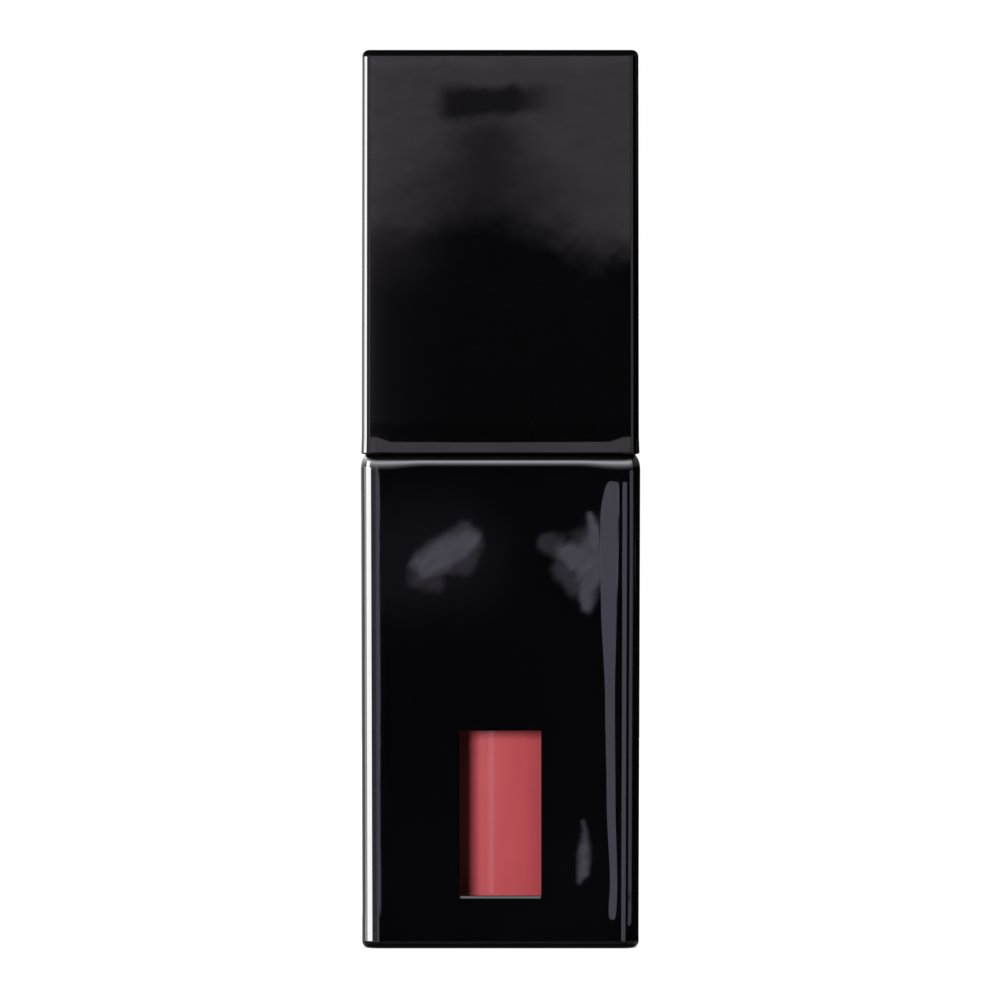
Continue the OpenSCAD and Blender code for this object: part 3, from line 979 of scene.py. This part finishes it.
def background(tree, strength):
    node = tree.nodes.new("ShaderNodeBackground")
    node.inputs["Color"].default_value = (1, 1, 1, 1)
    node.inputs["Strength"].default_value = strength
    return node


def make_world():
    """White to the eye, dark around the horizon in mirrors, and a low even fill on matt parts."""
    world = bpy.data.worlds.new("studio")
    bpy.context.scene.world = world
    world.use_nodes = True
    world.cycles.sampling_method = "NONE"
    tree = world.node_tree
    tree.nodes.clear()
    link, new = tree.links.new, tree.nodes.new
    white = background(tree, 1.0)
    fill = background(tree, 0.12)
    mirror = background(tree, 1.0)
    split = new("ShaderNodeSeparateXYZ")
    link(new("ShaderNodeTexCoord").outputs["Generated"], split.inputs["Vector"])
    height = math_node(tree, "MULTIPLY_ADD", split.outputs["Z"], 0.5)
    height.node.inputs[2].default_value = 0.5
    ramp = new("ShaderNodeValToRGB")
    link(height, ramp.inputs["Fac"])
    link(ramp.outputs["Color"], mirror.inputs["Color"])
    pitches = [(-90, 0.05), (-35, 0.07), (-22, 0.3), (-9, 0.3),
               (-4, 0.015), (6, 0.015), (12, 0.2), (45, 0.06)]
    while len(ramp.color_ramp.elements) < len(pitches):
        ramp.color_ramp.elements.new(0.5)
    for element, (pitch, glow) in zip(ramp.color_ramp.elements, pitches):
        element.position = 0.5 + 0.5 * math.sin(math.radians(pitch))
        element.color = (glow, glow, glow * 1.04, 1)
    vary_number(tree, mirror.inputs["Strength"], grain(tree, 2.2, 2.0), 0.45, 1.5)
    path = new("ShaderNodeLightPath")
    no_mirror = math_node(tree, "LESS_THAN", path.outputs["Glossy Depth"], 0.5)
    no_matt = math_node(tree, "LESS_THAN", path.outputs["Diffuse Depth"], 0.5)
    straight = math_node(tree, "MULTIPLY", no_mirror, no_matt)
    reflected = new("ShaderNodeMixShader")
    link(no_matt, reflected.inputs["Fac"])
    link(fill.outputs["Background"], reflected.inputs[1])
    link(mirror.outputs["Background"], reflected.inputs[2])
    seen = new("ShaderNodeMixShader")
    link(straight, seen.inputs["Fac"])
    link(reflected.outputs["Shader"], seen.inputs[1])
    link(white.outputs["Background"], seen.inputs[2])
    link(seen.outputs["Shader"], new("ShaderNodeOutputWorld").inputs["Surface"])


def make_camera():
    data = bpy.data.cameras.new("camera")
    data.sensor_width = SENSOR
    data.lens = SENSOR * FRONT_DISTANCE / PICTURE_HEIGHT
    data.clip_start = 0.01
    data.clip_end = 10
    camera = bpy.data.objects.new("camera", data)
    camera.location = (CAMERA_X, -CAMERA_DISTANCE, CAMERA_Z)
    camera.rotation_euler = (math.pi / 2, 0, 0)
    bpy.context.scene.collection.objects.link(camera)
    bpy.context.scene.camera = camera


# ------------------------------------------------------------------ the applicator's flock

def flock_fibres(coat):
    """Short fibres that stand all over the outside of the applicator's coat."""
    length, root_r, sunk = 0.2 * MM, 0.016 * MM, 0.05 * MM
    per_area = 60 / MM ** 2
    draw = random.Random(7)
    bm = bmesh.new()
    bm.from_mesh(coat.data)
    bmesh.ops.triangulate(bm, faces=bm.faces)
    surface = BVHTree.FromBMesh(bm)
    points, faces = [], []
    for face in bm.faces:
        normal = face.normal
        start = face.calc_center_median() + normal * 0.02 * MM
        if surface.ray_cast(start, normal)[0] is not None:
            continue                # this face looks inwards, at the core
        a, b, c = (vert.co for vert in face.verts)
        for _ in range(int(face.calc_area() * per_area + draw.random())):
            first, second = sorted((draw.random(), draw.random()))
            root = a * first + b * (second - first) + c * (1 - second) - normal * sunk
            lean = Vector((draw.gauss(0, 0.25), draw.gauss(0, 0.25), draw.gauss(0, 0.25)))
            along = (normal + lean).normalized()
            side = along.orthogonal().normalized() * root_r
            across = along.cross(side)      # a fibre's root is a triangle with sides along both
            tip = root + along * length * draw.uniform(0.75, 1.0)
            n = len(points)
            points += [root + side, root - side * 0.5 + across * 0.87, root - side * 0.5 - across * 0.87, tip]
            faces += [(n, n + 1, n + 3), (n + 1, n + 2, n + 3), (n + 2, n, n + 3), (n + 2, n + 1, n)]
    bm.free()
    mesh = bpy.data.meshes.new("flock_fibres")
    mesh.from_pydata([tuple(p) for p in points], [], faces)
    obj = bpy.data.objects.new("flock_fibres", mesh)
    bpy.context.scene.collection.objects.link(obj)
    return obj


# ------------------------------------------------------------------ the object

make_camera()
black = lacquer("black_lacquer")
flock = flock_material("flock_rose")
case = place(case_skin(), "bottle", black, ["case_shell"])
cap = place(cap_skin(), "cap", black, ["cap_shell"])
acrylic = clear("clear_acrylic", 1.49, (0.985, 0.985, 1.0), 0.0002 * MM)
pane = place(window_pane(), "bottle", acrylic, ["window_lens"])
mask = moulded("edge_mask", (0.004, 0.004, 0.005), (0.006, 0.006, 0.007), (0.7, 0.8), 5000, 0.003 * MM)[0]
mask_edge(pane, mask)
mask_cut(case, mask)
colour = place(product_body(), "bottle", lip_colour("rose_colour"), ["product_fill"])
fibres = place(flock_fibres(nodes["flock_coat"]), "cap", flock)

FINISHES = {
    "vial": clear("clear_petg", 1.57, (0.985, 0.995, 0.985), 0.0004 * MM),
    "base_plate": moulded("base_satin", (0.016, 0.016, 0.018), (0.028, 0.028, 0.031), (0.38, 0.5), 9000,
                          0.008 * MM)[0],
    "shade_label": label_film("label_film"),
    "neck_collar": moulded("collar_satin", (0.006, 0.006, 0.007), (0.010, 0.010, 0.011), (0.45, 0.6), 6000,
                           0.003 * MM)[0],
    "wiper": soft_polythene("wiper_polythene"),
    "neck_seal": foam("seal_foam"),
    "cap_weight": tumbled_metal("weight_metal"),
    "cap_liner": moulded("liner_black", (0.011, 0.011, 0.012), (0.021, 0.021, 0.022), (0.33, 0.5), 1200,
                         0.002 * MM, 200, (1, 1, 0.2))[0],
    "stem": smeared_stem("stem_black"),
    "applicator_core": moulded("core_soft", (0.045, 0.03, 0.032), (0.085, 0.045, 0.05), (0.5, 0.65), 3000,
                               0.004 * MM)[0],
    "flock_coat": flock,
}
for name, material in FINISHES.items():
    nodes[name].material_slots[0].material = material
for glass in (pane, nodes["vial"]):
    glass.visible_shadow = False
    glass.visible_diffuse = False

others = [nodes[name] for name in FINISHES if name != "neck_collar"] + [fibres]
make_lights(case, cap, pane, colour, others)
make_floor()
make_world()
bpy.context.scene.view_settings.view_transform = "Standard"
